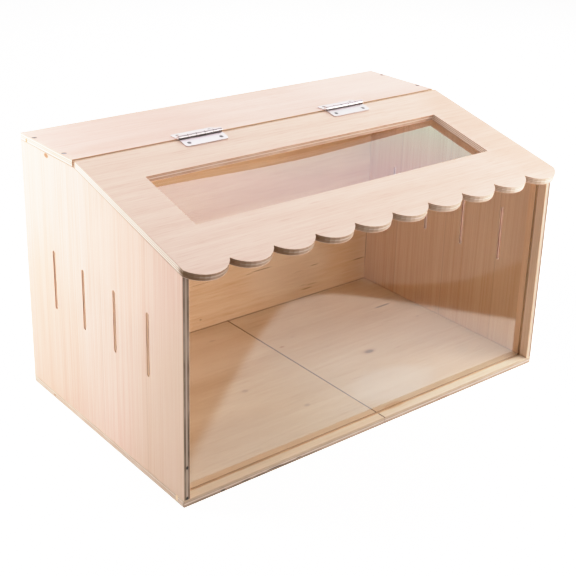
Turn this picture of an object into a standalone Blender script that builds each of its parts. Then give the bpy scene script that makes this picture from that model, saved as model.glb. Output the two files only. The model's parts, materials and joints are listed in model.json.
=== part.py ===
"""Plywood brooder box: a floor, two vented sides, a back and a top board, with a hinged lid.

The lid has a scalloped front edge and a clear window, and a clear front pane stands in grooves.
Metres, +Z up, +X along the width, the front towards -Y. The origin is under the middle of the
bounding box.
"""

import math

import bmesh
import bpy
from mathutils import Matrix, Vector

MM = 0.001

# The box
BOX_WIDTH = 600 * MM
BOX_DEPTH = 366 * MM
BOX_HEIGHT = 355 * MM
PLY = 9 * MM
SEAT = 0.3 * MM
OVERRUN = 2 * MM
ARRIS = 0.6 * MM
ARRIS_STEPS = 2
SHARP_TURN = math.radians(40)
FLAT_TURN = math.radians(1)

# The floor, two boards with a loose tongue in their joint
FLOOR_SEAM_X = 13 * MM
TONGUE_WIDTH = 20 * MM
TONGUE_THICKNESS = 3 * MM
TONGUE_END_MARGIN = 30 * MM

# The top board and the lid, which slopes down from it
TOP_BOARD_DEPTH = 135.5 * MM
LID_GAP = 4.5 * MM
LID_SLOPE = math.radians(14.24)
SCALLOPS = 10
SCALLOP_DEPTH = 18 * MM
SCALLOP_STEPS = 12
WINDOW_MARGIN_END = 61 * MM
WINDOW_MARGIN_REAR = 60 * MM
WINDOW_LENGTH = 108 * MM
WINDOW_CORNER = 1.5 * MM
CORNER_STEPS = 4

# Clear sheets
SHEET = 3 * MM
GROOVE_WIDTH = 3.6 * MM
GROOVE_DEPTH = 3 * MM
GROOVE_FROM_FRONT = 15 * MM
PANE_UNDER_LID = 5 * MM
LID_PANE_LAP = 20 * MM

# The back panel stands in a housing in each side
BACK_INSET = 10 * MM
HOUSING_DEPTH = 3 * MM

# Vent slots in each side
SLOTS = 4
SLOT_WIDTH = 6 * MM
SLOT_LENGTH = 81 * MM
SLOT_BOTTOM = 138 * MM
SLOT_FROM_REAR = 76 * MM
SLOT_FROM_FRONT = 71 * MM
SLOT_END_STEPS = 16

# Butt hinges, screwed on top of the boards
HINGE_X = 121 * MM
HINGE_LENGTH = 65 * MM
HINGE_GAUGE = 1.2 * MM
HINGE_REACH = 20 * MM
HINGE_CORNER = 3.5 * MM
KNUCKLES = 5
KNUCKLE_RADIUS = 3 * MM
KNUCKLE_LIFT = 0.2 * MM
KNUCKLE_PLAY = 0.3 * MM
PIN_BEHIND_LID = 0.8 * MM
PIN_RADIUS = 1.05 * MM
PIN_HEAD_RADIUS = 2 * MM
PIN_HEAD_LENGTH = 1.2 * MM
ROUND_STEPS = 24
HINGE_SCREW_FROM_END = 8 * MM
HINGE_SCREW_FROM_PIN = 13.5 * MM

# Countersunk screws: head radius, shank radius, head height, length
HINGE_SCREW = (2.9 * MM, 1.3 * MM, 1.6 * MM, 8 * MM)
BOARD_SCREW = (3.4 * MM, 1.7 * MM, 2.4 * MM, 28 * MM)
PANE_SCREW = (2.9 * MM, 1.3 * MM, 1.6 * MM, 9 * MM)
SCREW_TIP_SHARE = 0.25
SCREW_STEPS = 16
TOP_SCREW_FROM_REAR = (30.5 * MM, 107 * MM)
SIDE_SCREWS = 3
SIDE_SCREW_MARGIN = 50 * MM
BACK_SCREW_FROM_SIDE = (70 * MM, 220 * MM)
PANE_SCREW_FROM_EDGE = 8 * MM

# Places that follow from the sizes. The notches between the scallops end over the front edge
LID_REACH = BOX_DEPTH - TOP_BOARD_DEPTH - LID_GAP + PLY * math.sin(LID_SLOPE)
LID_LENGTH = LID_REACH / math.cos(LID_SLOPE)
LID_TIP_REACH = (LID_LENGTH + SCALLOP_DEPTH) * math.cos(LID_SLOPE)
OVERALL_DEPTH = TOP_BOARD_DEPTH + LID_GAP + LID_TIP_REACH
REAR_Y = OVERALL_DEPTH / 2
FRONT_Y = REAR_Y - BOX_DEPTH
HALF_WIDTH = BOX_WIDTH / 2
BOARD_FRONT_Y = REAR_Y - TOP_BOARD_DEPTH
LID_REAR_Y = BOARD_FRONT_Y - LID_GAP
PIN_Y = LID_REAR_Y + PIN_BEHIND_LID
PIN_Z = BOX_HEIGHT + KNUCKLE_RADIUS + KNUCKLE_LIFT
GROOVE_Y = FRONT_Y + GROOVE_FROM_FRONT

# In the lid's own frame, -Y runs down the slope from the pin and +Z stands square to the lid
LID_REAR = -PIN_BEHIND_LID * math.cos(LID_SLOPE) - (PIN_Z - BOX_HEIGHT) * math.sin(LID_SLOPE)
LID_TOP = PIN_BEHIND_LID * math.sin(LID_SLOPE) - (PIN_Z - BOX_HEIGHT) * math.cos(LID_SLOPE)
LID_UNDERSIDE = LID_TOP - PLY


def lid_underside_z(y):
    """Height of the closed lid's underside over a point at this depth."""
    lower_arris_y = LID_REAR_Y + PLY * math.sin(LID_SLOPE)
    lower_arris_z = BOX_HEIGHT - PLY * math.cos(LID_SLOPE)
    return lower_arris_z - (lower_arris_y - y) * math.tan(LID_SLOPE)


# Scene helpers
def clear_scene():
    for obj in list(bpy.data.objects):
        bpy.data.objects.remove(obj, do_unlink=True)


def make_collection(name):
    collection = bpy.data.collections.new(name)
    bpy.context.scene.collection.children.link(collection)
    return collection


def make_material(name, colour, roughness, metallic=0.0, alpha=1.0):
    material = bpy.data.materials.new(name)
    material.use_nodes = True
    shader = material.node_tree.nodes["Principled BSDF"]
    shader.inputs["Base Color"].default_value = (*colour, 1.0)
    shader.inputs["Roughness"].default_value = roughness
    shader.inputs["Metallic"].default_value = metallic
    shader.inputs["Alpha"].default_value = alpha
    return material


def add_object(name, mesh, collection, material=None, parent=None):
    obj = bpy.data.objects.new(name, mesh)
    collection.objects.link(obj)
    if material:
        obj.data.materials.clear()
        obj.data.materials.append(material)
    obj.parent = parent
    return obj


def mesh_from(build):
    """A mesh from a function that fills a bmesh."""
    shape = bmesh.new()
    build(shape)
    mesh = bpy.data.meshes.new("shape")
    shape.to_mesh(mesh)
    shape.free()
    return mesh


def shade_round(mesh):
    mesh.shade_smooth()
    mesh.set_sharp_from_angle(angle=SHARP_TURN)


def box_mesh(size):
    return mesh_from(
        lambda shape: bmesh.ops.create_cube(shape, size=1.0, matrix=Matrix.Diagonal((*size, 1.0)))
    )


def cylinder_mesh(radius, length, steps=ROUND_STEPS):
    """A cylinder along X, about its middle."""
    turn = Matrix.Rotation(math.pi / 2, 4, "Y")
    mesh = mesh_from(
        lambda shape: bmesh.ops.create_cone(
            shape,
            cap_ends=True,
            segments=steps,
            radius1=radius,
            radius2=radius,
            depth=length,
            matrix=turn,
        )
    )
    shade_round(mesh)
    return mesh


def outline_mesh(outlines, thickness):
    """A flat sheet in XY with these outlines, thickness about Z = 0, as one welded mesh."""
    curve = bpy.data.curves.new("outline", "CURVE")
    curve.dimensions = "2D"
    curve.fill_mode = "BOTH"
    curve.extrude = thickness / 2
    for points in outlines:
        spline = curve.splines.new("POLY")
        spline.points.add(len(points) - 1)
        for place, (x, y) in zip(spline.points, points):
            place.co = (x, y, 0, 1)
        spline.use_cyclic_u = True
    guide = bpy.data.objects.new("outline", curve)
    bpy.context.scene.collection.objects.link(guide)
    graph = bpy.context.evaluated_depsgraph_get()
    mesh = bpy.data.meshes.new_from_object(guide.evaluated_get(graph))
    bpy.data.objects.remove(guide, do_unlink=True)
    shape = bmesh.new()
    shape.from_mesh(mesh)
    bmesh.ops.remove_doubles(shape, verts=shape.verts, dist=ARRIS / 100)
    bmesh.ops.dissolve_limit(shape, angle_limit=FLAT_TURN, verts=shape.verts, edges=shape.edges)
    bmesh.ops.recalc_face_normals(shape, faces=shape.faces)
    shape.to_mesh(mesh)
    shape.free()
    return mesh


def arc(centre, radius, start, sweep, steps):
    """Points along an arc, both ends included."""
    turns = [start + sweep * step / steps for step in range(steps + 1)]
    return [(centre[0] + radius * math.cos(t), centre[1] + radius * math.sin(t)) for t in turns]


def spread(first, last, count):
    """Evenly spaced places from the first to the last."""
    return [first + (last - first) * number / (count - 1) for number in range(count)]


def rounded_rectangle(low, high, radius, steps=CORNER_STEPS):
    """Corner points of a rectangle with round corners, anticlockwise."""
    quarter = math.pi / 2
    corners = [
        ((high[0] - radius, low[1] + radius), -quarter),
        ((high[0] - radius, high[1] - radius), 0),
        ((low[0] + radius, high[1] - radius), quarter),
        ((low[0] + radius, low[1] + radius), math.pi),
    ]
    points = []
    for centre, start in corners:
        points += arc(centre, radius, start, quarter, steps)
    return points


def ease_arrises(obj):
    """Sanded arrises: a narrow round on every edge that stands out, and none in a notch."""
    shape = bmesh.new()
    shape.from_mesh(obj.data)
    weight = shape.edges.layers.float.new("bevel_weight_edge")
    for edge in shape.edges:
        edge[weight] = float(edge.calc_face_angle_signed() > SHARP_TURN)
    shape.to_mesh(obj.data)
    shape.free()
    bevel = obj.modifiers.new("Sanded arrises", "BEVEL")
    bevel.width = ARRIS
    bevel.segments = ARRIS_STEPS
    bevel.limit_method = "WEIGHT"


def combine(obj, helper, operation):
    """A Boolean with a helper that isn't part of the object."""
    helper.hide_render = True
    helper.display_type = "WIRE"
    modifier = obj.modifiers.new(helper.name, "BOOLEAN")
    modifier.operation = operation
    modifier.solver = "EXACT"
    modifier.object = helper


class Workshop:
    """Collections and materials that the makers below share."""

    def __init__(self):
        self.parts = make_collection("brooder_box")
        self.cutters = make_collection("cutters")
        self.ply = make_material("birch_ply", (0.86, 0.72, 0.6), 0.6)
        self.floor_ply = make_material("floor_ply", (0.72, 0.56, 0.42), 0.6)
        self.clear = make_material("clear_sheet", (0.95, 0.95, 0.93), 0.05, alpha=0.3)
        self.zinc = make_material("zinc_plate", (0.82, 0.81, 0.8), 0.3, metallic=1.0)
        self.dark_steel = make_material("dark_steel", (0.2, 0.18, 0.17), 0.4, metallic=1.0)

    def part(self, name, mesh, material, parent=None):
        return add_object(name, mesh, self.parts, material, parent)

    def box(self, name, low, high, material, parent=None):
        """A box between two corners, its origin in its middle."""
        low, high = Vector(low), Vector(high)
        obj = self.part(name, box_mesh(high - low), material, parent)
        obj.location = (low + high) / 2
        return obj

    def helper(self, name, mesh, location, parent=None):
        obj = add_object(name, mesh, self.cutters, parent=parent)
        obj.location = location
        return obj

    def cut_box(self, target, name, low, high):
        low, high = Vector(low), Vector(high)
        cutter = self.helper(name, box_mesh(high - low), (low + high) / 2, target.parent)
        combine(target, cutter, "DIFFERENCE")


# Screws
def screw_profile(screw, length):
    """Half outline of a countersunk screw, from the middle of its flat head down to its tip."""
    head_radius, shank_radius, head_height, _ = screw
    tip_height = length * SCREW_TIP_SHARE
    return [
        (0, 0),
        (head_radius, 0),
        (shank_radius, -head_height),
        (shank_radius, tip_height - length),
        (0, -length),
    ]


def turned_mesh(profile, steps):
    """A mesh turned about Z from a profile at +X that runs from the top to the bottom."""
    shape = bmesh.new()
    previous = None
    for radius, height in profile:
        point = shape.verts.new((radius, 0, height))
        if previous:
            shape.edges.new((previous, point))
        previous = point
    mesh = bpy.data.meshes.new("profile")
    shape.to_mesh(mesh)
    shape.free()
    guide = bpy.data.objects.new("profile", mesh)
    bpy.context.scene.collection.objects.link(guide)
    turn = guide.modifiers.new("Turned", "SCREW")
    turn.steps = steps
    turn.render_steps = steps
    turn.use_merge_vertices = True
    turn.merge_threshold = 0.01 * MM
    graph = bpy.context.evaluated_depsgraph_get()
    turned = bpy.data.meshes.new_from_object(guide.evaluated_get(graph))
    bpy.data.objects.remove(guide, do_unlink=True)
    shade_round(turned)
    return turned


def add_screw(shop, name, screw, place, turn, material, parent=None):
    """A screw whose head lies flat at this place, pointing down its own -Z after the turn."""
    obj = shop.part(name, turned_mesh(screw_profile(screw, screw[3]), SCREW_STEPS), material, parent)
    obj.location = place
    obj.rotation_euler = (turn, 0, 0)
    return obj


def drill(shop, target, name, screw, place, turn, parent=None):
    """A countersunk hole with room around the screw, so that the head sits just under the face."""
    head_radius, shank_radius, head_height, length = screw
    profile = [
        (0, OVERRUN),
        (head_radius + SEAT, OVERRUN),
        (head_radius + SEAT, 0),
        (shank_radius + SEAT, -head_height - SEAT),
        (shank_radius + SEAT, -length - SEAT),
        (0, -length - SEAT),
    ]
    cutter = shop.helper(name, turned_mesh(profile, SCREW_STEPS), place, parent)
    cutter.rotation_euler = (turn, 0, 0)
    combine(target, cutter, "DIFFERENCE")


# The floor
def make_floor(shop):
    """Two boards side by side, each grooved for the front pane and for the loose tongue."""
    boards = []
    for name, low_x, high_x in (
        ("base_board_left", -HALF_WIDTH, FLOOR_SEAM_X - SEAT / 2),
        ("base_board_right", FLOOR_SEAM_X + SEAT / 2, HALF_WIDTH),
    ):
        board = shop.box(name, (low_x, FRONT_Y, 0), (high_x, REAR_Y, PLY), shop.floor_ply)
        ease_arrises(board)
        boards.append(board)
        shop.cut_box(
            board,
            name + "_pane_groove",
            (-HALF_WIDTH + PLY - GROOVE_DEPTH, GROOVE_Y - GROOVE_WIDTH / 2, PLY - GROOVE_DEPTH),
            (HALF_WIDTH - PLY + GROOVE_DEPTH, GROOVE_Y + GROOVE_WIDTH / 2, PLY + OVERRUN),
        )
        tongue_slot = TONGUE_THICKNESS / 2 + SEAT
        shop.cut_box(
            board,
            name + "_tongue_slot",
            (
                FLOOR_SEAM_X - TONGUE_WIDTH / 2 - SEAT,
                FRONT_Y + TONGUE_END_MARGIN - SEAT,
                PLY / 2 - tongue_slot,
            ),
            (
                FLOOR_SEAM_X + TONGUE_WIDTH / 2 + SEAT,
                REAR_Y - TONGUE_END_MARGIN + SEAT,
                PLY / 2 + tongue_slot,
            ),
        )
    shop.box(
        "base_tongue",
        (
            FLOOR_SEAM_X - TONGUE_WIDTH / 2,
            FRONT_Y + TONGUE_END_MARGIN,
            PLY / 2 - TONGUE_THICKNESS / 2,
        ),
        (
            FLOOR_SEAM_X + TONGUE_WIDTH / 2,
            REAR_Y - TONGUE_END_MARGIN,
            PLY / 2 + TONGUE_THICKNESS / 2,
        ),
        shop.floor_ply,
    )
    return boards


# The sides
def side_outline():
    """Profile of a side in (y, z): flat under the top board, sloping under the lid."""
    bottom = PLY + SEAT
    flat_top = BOX_HEIGHT - PLY - SEAT
    lid_clearance = SEAT / math.cos(LID_SLOPE)
    front_top = lid_underside_z(FRONT_Y) - lid_clearance
    corner_y = FRONT_Y + (flat_top - front_top) / math.tan(LID_SLOPE)
    return [
        (FRONT_Y, bottom),
        (REAR_Y, bottom),
        (REAR_Y, flat_top),
        (corner_y, flat_top),
        (FRONT_Y, front_top),
    ]


def slot_outline():
    """An upright slot with round ends, about its middle, in (y, z)."""
    radius = SLOT_WIDTH / 2
    reach = SLOT_LENGTH / 2 - radius
    top = arc((0, reach), radius, 0, math.pi, SLOT_END_STEPS)
    bottom = arc((0, -reach), radius, math.pi, math.pi, SLOT_END_STEPS)
    return top + bottom


def stand_in_side_plane(obj, x):
    """Turns a sheet drawn in (y, z) so that it stands across X, its middle at this x."""
    obj.rotation_euler = (math.pi / 2, 0, math.pi / 2)
    obj.location = (x, 0, 0)


def make_side(shop, name, sign):
    """One side, with its vent slots, the groove for the front pane and the back's housing."""
    middle_x = sign * (HALF_WIDTH - PLY / 2)
    inner_x = sign * (HALF_WIDTH - PLY)
    side = shop.part(name, outline_mesh([side_outline()], PLY), shop.ply)
    stand_in_side_plane(side, middle_x)
    ease_arrises(side)
    slot = outline_mesh([slot_outline()], PLY + 2 * OVERRUN)
    slot_places = spread(REAR_Y - SLOT_FROM_REAR, FRONT_Y + SLOT_FROM_FRONT, SLOTS)
    for number, y in enumerate(slot_places):
        cutter = shop.helper(f"{name}_slot_{number + 1}", slot, (0, 0, 0))
        stand_in_side_plane(cutter, middle_x)
        cutter.location = (middle_x, y, SLOT_BOTTOM + SLOT_LENGTH / 2)
        combine(side, cutter, "DIFFERENCE")
    for label, depth, low_y, high_y in (
        ("pane_groove", GROOVE_DEPTH, GROOVE_Y - GROOVE_WIDTH / 2, GROOVE_Y + GROOVE_WIDTH / 2),
        (
            "back_housing",
            HOUSING_DEPTH,
            REAR_Y - BACK_INSET - PLY - SEAT,
            REAR_Y - BACK_INSET + SEAT,
        ),
    ):
        edges = sorted((inner_x + sign * depth, inner_x - sign * OVERRUN))
        shop.cut_box(
            side, f"{name}_{label}", (edges[0], low_y, 0), (edges[1], high_y, BOX_HEIGHT + OVERRUN)
        )
    return side


# The back and the top board
def make_back(shop):
    reach = HALF_WIDTH - PLY + HOUSING_DEPTH - SEAT
    back = shop.box(
        "back_panel",
        (-reach, REAR_Y - BACK_INSET - PLY, PLY + SEAT),
        (reach, REAR_Y - BACK_INSET, BOX_HEIGHT - PLY - SEAT),
        shop.ply,
    )
    ease_arrises(back)
    return back


def make_top_board(shop):
    board = shop.box(
        "top_board",
        (-HALF_WIDTH, BOARD_FRONT_Y, BOX_HEIGHT - PLY),
        (HALF_WIDTH, REAR_Y, BOX_HEIGHT),
        shop.ply,
    )
    ease_arrises(board)
    return board


def fasten_box(shop, boards, sides, back, top_board):
    """Screws down through the top board, and up through the floor into the sides and the back."""
    head_sink = SEAT
    for side, sign, label in ((sides[0], -1, "left"), (sides[1], 1, "right")):
        x = sign * (HALF_WIDTH - PLY / 2)
        for number, from_rear in enumerate(TOP_SCREW_FROM_REAR, 1):
            place = (x, REAR_Y - from_rear, BOX_HEIGHT - head_sink)
            name = f"top_screw_{label}_{number}"
            add_screw(shop, name, BOARD_SCREW, place, 0, shop.dark_steel)
            drill(shop, top_board, name + "_hole", BOARD_SCREW, place, 0)
            drill(shop, side, name + "_pilot", BOARD_SCREW, place, 0)
        board = boards[0] if sign < 0 else boards[1]
        screw_places = spread(REAR_Y - SIDE_SCREW_MARGIN, FRONT_Y + SIDE_SCREW_MARGIN, SIDE_SCREWS)
        for number, y in enumerate(screw_places, 1):
            place = (x, y, head_sink)
            name = f"base_screw_{label}_{number}"
            add_screw(shop, name, BOARD_SCREW, place, math.pi, shop.dark_steel)
            drill(shop, board, name + "_hole", BOARD_SCREW, place, math.pi)
            drill(shop, side, name + "_pilot", BOARD_SCREW, place, math.pi)
        for number, from_side in enumerate(BACK_SCREW_FROM_SIDE, 1):
            place = (sign * (HALF_WIDTH - from_side), REAR_Y - BACK_INSET - PLY / 2, head_sink)
            name = f"back_screw_{label}_{number}"
            add_screw(shop, name, BOARD_SCREW, place, math.pi, shop.dark_steel)
            drill(shop, board, name + "_hole", BOARD_SCREW, place, math.pi)
            drill(shop, back, name + "_pilot", BOARD_SCREW, place, math.pi)


# The front pane
def make_front_pane(shop):
    """A clear sheet that stands in the floor's groove and slides up between the sides."""
    reach = HALF_WIDTH - PLY + GROOVE_DEPTH - SEAT
    top = lid_underside_z(GROOVE_Y - SHEET / 2) - PANE_UNDER_LID
    return shop.box(
        "front_pane",
        (-reach, GROOVE_Y - SHEET / 2, PLY - GROOVE_DEPTH + SEAT),
        (reach, GROOVE_Y + SHEET / 2, top),
        shop.clear,
    )


# The lid
def scalloped_outline():
    """Outline of the lid in its own frame, the rear edge straight and the front in scallops."""
    chord = BOX_WIDTH / SCALLOPS
    radius = (chord**2 / 4 + SCALLOP_DEPTH**2) / (2 * SCALLOP_DEPTH)
    half_sweep = math.asin(chord / 2 / radius)
    rear_y = LID_REAR
    front_y = rear_y - LID_LENGTH
    centre_y = front_y - SCALLOP_DEPTH + radius
    points = [(HALF_WIDTH, rear_y), (-HALF_WIDTH, rear_y)]
    for number in range(SCALLOPS):
        centre_x = -HALF_WIDTH + (number + 0.5) * chord
        start = -math.pi / 2 - half_sweep
        curve = arc((centre_x, centre_y), radius, start, 2 * half_sweep, SCALLOP_STEPS)
        points += curve if number == 0 else curve[1:]
    return points


def window_outline():
    low = (
        -HALF_WIDTH + WINDOW_MARGIN_END,
        LID_REAR - WINDOW_MARGIN_REAR - WINDOW_LENGTH,
    )
    high = (HALF_WIDTH - WINDOW_MARGIN_END, LID_REAR - WINDOW_MARGIN_REAR)
    return low, high


def make_lid(shop, pivot):
    """The lid panel and, under its window, a clear sheet held by a screw at each corner."""
    low, high = window_outline()
    window = rounded_rectangle(low, high, WINDOW_CORNER)
    panel = shop.part("lid_panel", outline_mesh([scalloped_outline(), window], PLY), shop.ply, pivot)
    panel.location = (0, 0, LID_TOP - PLY / 2)
    ease_arrises(panel)
    pane_top = LID_UNDERSIDE - SEAT
    pane_low = (low[0] - LID_PANE_LAP, low[1] - LID_PANE_LAP, pane_top - SHEET)
    pane_high = (high[0] + LID_PANE_LAP, high[1] + LID_PANE_LAP, pane_top)
    pane = shop.box("lid_window_pane", pane_low, pane_high, shop.clear, pivot)
    head_z = pane_top - SHEET
    for row, y in (
        ("front", pane_low[1] + PANE_SCREW_FROM_EDGE),
        ("rear", pane_high[1] - PANE_SCREW_FROM_EDGE),
    ):
        for label, x in (
            ("left", pane_low[0] + PANE_SCREW_FROM_EDGE),
            ("right", pane_high[0] - PANE_SCREW_FROM_EDGE),
        ):
            name = f"pane_screw_{row}_{label}"
            place = (x, y, head_z)
            add_screw(shop, name, PANE_SCREW, place, math.pi, shop.zinc, pivot)
            drill(shop, pane, name + "_hole", PANE_SCREW, place, math.pi, pivot)
            drill(shop, panel, name + "_pilot", PANE_SCREW, place, math.pi, pivot)
    return panel


# Hinges
def knuckle_spans(first):
    """Ends along X of every second knuckle, starting with knuckle 0 or 1."""
    pitch = HINGE_LENGTH / KNUCKLES
    return [
        (
            -HINGE_LENGTH / 2 + number * pitch + (KNUCKLE_PLAY / 2 if number else 0),
            -HINGE_LENGTH / 2
            + (number + 1) * pitch
            - (KNUCKLE_PLAY / 2 if number < KNUCKLES - 1 else 0),
        )
        for number in range(first, KNUCKLES, 2)
    ]


def leaf_outline(first):
    """A leaf in XY, its knuckle side at y = 0 and notched where the other leaf's knuckles turn."""
    half = HINGE_LENGTH / 2
    notch_y = KNUCKLE_RADIUS + KNUCKLE_PLAY
    quarter = math.pi / 2
    corner_x, corner_y = half - HINGE_CORNER, HINGE_REACH - HINGE_CORNER
    outer_right = arc((corner_x, corner_y), HINGE_CORNER, 0, quarter, CORNER_STEPS)
    outer_left = arc((-corner_x, corner_y), HINGE_CORNER, quarter, quarter, CORNER_STEPS)
    points = []
    for low, high in knuckle_spans(first):
        if low > -half:
            points.append((low, notch_y))
        points += [(low, 0), (high, 0)]
        if high < half:
            points.append((high, notch_y))
    if first:
        points = [(-half, notch_y), *points, (half, notch_y)]
    return points + outer_right + outer_left


def make_leaf(shop, name, first, plate_z, facing, place, parent, material):
    """A leaf with its rolled knuckles, bored for the pin. Facing is +1 towards +Y, -1 towards -Y."""
    leaf = shop.part(name, outline_mesh([leaf_outline(first)], HINGE_GAUGE), material, parent)
    leaf.data.transform(Matrix.Translation((0, 0, plate_z)))
    if facing < 0:
        leaf.data.transform(Matrix.Rotation(math.pi, 4, "Z"))
    leaf.location = place
    for number, (low, high) in enumerate(knuckle_spans(first)):
        middle = facing * (low + high) / 2
        barrel = cylinder_mesh(KNUCKLE_RADIUS, high - low)
        at = Vector(place) + Vector((middle, 0, 0))
        combine(leaf, shop.helper(f"{name}_knuckle_{number + 1}", barrel, at, parent), "UNION")
    bore = cylinder_mesh(PIN_RADIUS + KNUCKLE_PLAY, HINGE_LENGTH + 2 * OVERRUN)
    combine(leaf, shop.helper(f"{name}_bore", bore, place, parent), "DIFFERENCE")
    return leaf


def make_pin(shop, name, x):
    """The hinge pin, turned in one with a small head at each end."""
    shank_end = HINGE_LENGTH / 2 + KNUCKLE_PLAY
    head_end = shank_end + PIN_HEAD_LENGTH
    profile = [
        (0, head_end),
        (PIN_HEAD_RADIUS, head_end),
        (PIN_HEAD_RADIUS, shank_end),
        (PIN_RADIUS, shank_end),
        (PIN_RADIUS, -shank_end),
        (PIN_HEAD_RADIUS, -shank_end),
        (PIN_HEAD_RADIUS, -head_end),
        (0, -head_end),
    ]
    pin = shop.part(name, turned_mesh(profile, ROUND_STEPS), shop.zinc)
    pin.location = (x, PIN_Y, PIN_Z)
    pin.rotation_euler = (0, math.pi / 2, 0)


def make_hinge(shop, label, x, pivot, top_board, lid_panel):
    fixed_z = BOX_HEIGHT + SEAT + HINGE_GAUGE / 2 - PIN_Z
    lid_z = LID_TOP + SEAT + HINGE_GAUGE / 2
    fixed = make_leaf(
        shop, f"hinge_{label}_fixed_leaf", 0, fixed_z, 1, (x, PIN_Y, PIN_Z), None, shop.zinc
    )
    moving = make_leaf(shop, f"hinge_{label}_lid_leaf", 1, lid_z, -1, (x, 0, 0), pivot, shop.zinc)
    make_pin(shop, f"hinge_{label}_pin", x)
    for number, sign in enumerate((-1, 1), 1):
        screw_x = x + sign * (HINGE_LENGTH / 2 - HINGE_SCREW_FROM_END)
        place = (screw_x, PIN_Y + HINGE_SCREW_FROM_PIN, BOX_HEIGHT + SEAT + HINGE_GAUGE)
        name = f"hinge_{label}_fixed_screw_{number}"
        add_screw(shop, name, HINGE_SCREW, place, 0, shop.dark_steel)
        drill(shop, fixed, name + "_hole", HINGE_SCREW, place, 0)
        drill(shop, top_board, name + "_pilot", HINGE_SCREW, place, 0)
        place = (screw_x, -HINGE_SCREW_FROM_PIN, LID_TOP + SEAT + HINGE_GAUGE)
        name = f"hinge_{label}_lid_screw_{number}"
        add_screw(shop, name, HINGE_SCREW, place, 0, shop.dark_steel, pivot)
        drill(shop, moving, name + "_hole", HINGE_SCREW, place, 0, pivot)
        drill(shop, lid_panel, name + "_pilot", HINGE_SCREW, place, 0, pivot)


def build():
    clear_scene()
    shop = Workshop()
    boards = make_floor(shop)
    sides = [make_side(shop, "side_panel_left", -1), make_side(shop, "side_panel_right", 1)]
    back = make_back(shop)
    top_board = make_top_board(shop)
    fasten_box(shop, boards, sides, back, top_board)
    make_front_pane(shop)
    pivot = bpy.data.objects.new("lid_pivot", None)
    shop.parts.objects.link(pivot)
    pivot.location = (0, PIN_Y, PIN_Z)
    pivot.rotation_euler = (LID_SLOPE, 0, 0)
    lid_panel = make_lid(shop, pivot)
    for label, sign in (("left", -1), ("right", 1)):
        make_hinge(shop, label, sign * HINGE_X, pivot, top_board, lid_panel)


build()
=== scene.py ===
"""Looks of a plywood brooder box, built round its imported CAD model.

The sections follow the box as it is put together: the floor, the sides, the back and the top board, the clear
front sheet, the lid with its clear sheet, the hinges and the screws. The room comes last.
"""

import json
import math

import bpy
import numpy as np
from mathutils import Euler, Matrix, Vector


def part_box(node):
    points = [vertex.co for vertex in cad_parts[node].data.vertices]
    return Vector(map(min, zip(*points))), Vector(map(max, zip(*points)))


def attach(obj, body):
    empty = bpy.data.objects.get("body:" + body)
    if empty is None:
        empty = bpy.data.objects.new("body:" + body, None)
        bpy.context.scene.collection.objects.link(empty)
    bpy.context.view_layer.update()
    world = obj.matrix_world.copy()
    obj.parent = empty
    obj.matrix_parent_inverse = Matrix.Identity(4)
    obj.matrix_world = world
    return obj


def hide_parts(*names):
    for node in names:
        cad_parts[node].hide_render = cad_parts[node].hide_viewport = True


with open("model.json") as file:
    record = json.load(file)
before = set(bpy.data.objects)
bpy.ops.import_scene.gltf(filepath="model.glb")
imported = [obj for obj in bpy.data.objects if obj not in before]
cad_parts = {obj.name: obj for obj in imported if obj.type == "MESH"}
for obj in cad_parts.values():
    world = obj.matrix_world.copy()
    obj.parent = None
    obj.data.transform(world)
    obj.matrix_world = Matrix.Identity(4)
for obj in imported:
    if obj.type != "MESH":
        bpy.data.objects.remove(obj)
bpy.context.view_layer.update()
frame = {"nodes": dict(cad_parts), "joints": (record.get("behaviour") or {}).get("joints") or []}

# The floor: two boards of 9 mm birch plywood side by side, with a loose tongue in their joint. They are sawn
# from a sheet with rotary-cut faces, so the figure is broad and wavy, and every sawn edge shows the plies.
MM = 0.001
PLY = 9 * MM
FACE_VENEER = 0.75 * MM
INNER_PLIES = 3
INNER_PLY = (PLY - 2 * FACE_VENEER) / INNER_PLIES
GLUE_LINE = 0.5 * MM  # wider than the real 0.15 mm, which would not show
SAW_BURN = 28 * MM
GRAIN_DEPTH = 0.1 * MM
TONE_SUM = 0.95
STREAK_LENGTH, STREAK_WIDTH = 3.5, 3  # against those of the pores
PORE_RAMP = 0.22
STRIP_CONTRAST = 0.25
SANDED = (0.48, 0.64)
PLY_SHIFT, STRIP_SHIFT = 0.37, 5.3  # how far apart the noise of neighbouring plies and strips is taken
SPLICE_LINE, SPLICE_REACH = "B8957C", 0.9 * MM
GOLDEN = 0.618
FLAT = Euler((0, 0, 0))
FLOOR_INSIDE = ("F0DFC9", "D7BA99")
FLOOR_UNDERSIDE = ("E8CDAE", "D2AE88")
SAWN_EDGE = ("F3DFD0", "DDBFA5", "7A5238")
FLOOR_GRAIN = (30, 1.3, 0.52, 0.35)
FLOOR_FIGURE = (260, 26, 0.4)
# A mark is its centre and radii in millimetres, its colour and its strength. First come painted shade along
# the top and the foot of the front edge, the joints and the groove, and painted light inside the groove, then
# each board's voids, knots and gum streaks, dark ragged marks low on its front edge, broad patches of
# painted light and shade, and on the left board painted shade along the foot of its left edge.
MARK_WHOLE, MARK_GONE = 0.6, 1.15  # in radii
FRONT, LEFT = -173.2, -300
SEAM_MARK = ((13, 0, 9), (1.0, 900, 1.0), "5A2E18", 0.9)
# Painted light inside the front sheet's groove, where shade falls
GROOVE_PAINTED_LIGHT_MARK = ((0, -158.4, 7), (900, 2.6, 6), "FFE0B8", 0.85)
GROOVE_MARK = ((0, -156.4, 9), (900, 0.35, 1.0), "7A3F1C", 0.7)
BACK_JOINT_MARK = ((0, 173.6, 9), (900, 0.8, 0.8), "8A4828", 0.6)
# Painted shade along the foot of the front edge
RIM_PAINTED_SHADE_MARK = ((0, FRONT, 0.4), (900, 3, 1.7), "86705C", 0.7)
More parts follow.
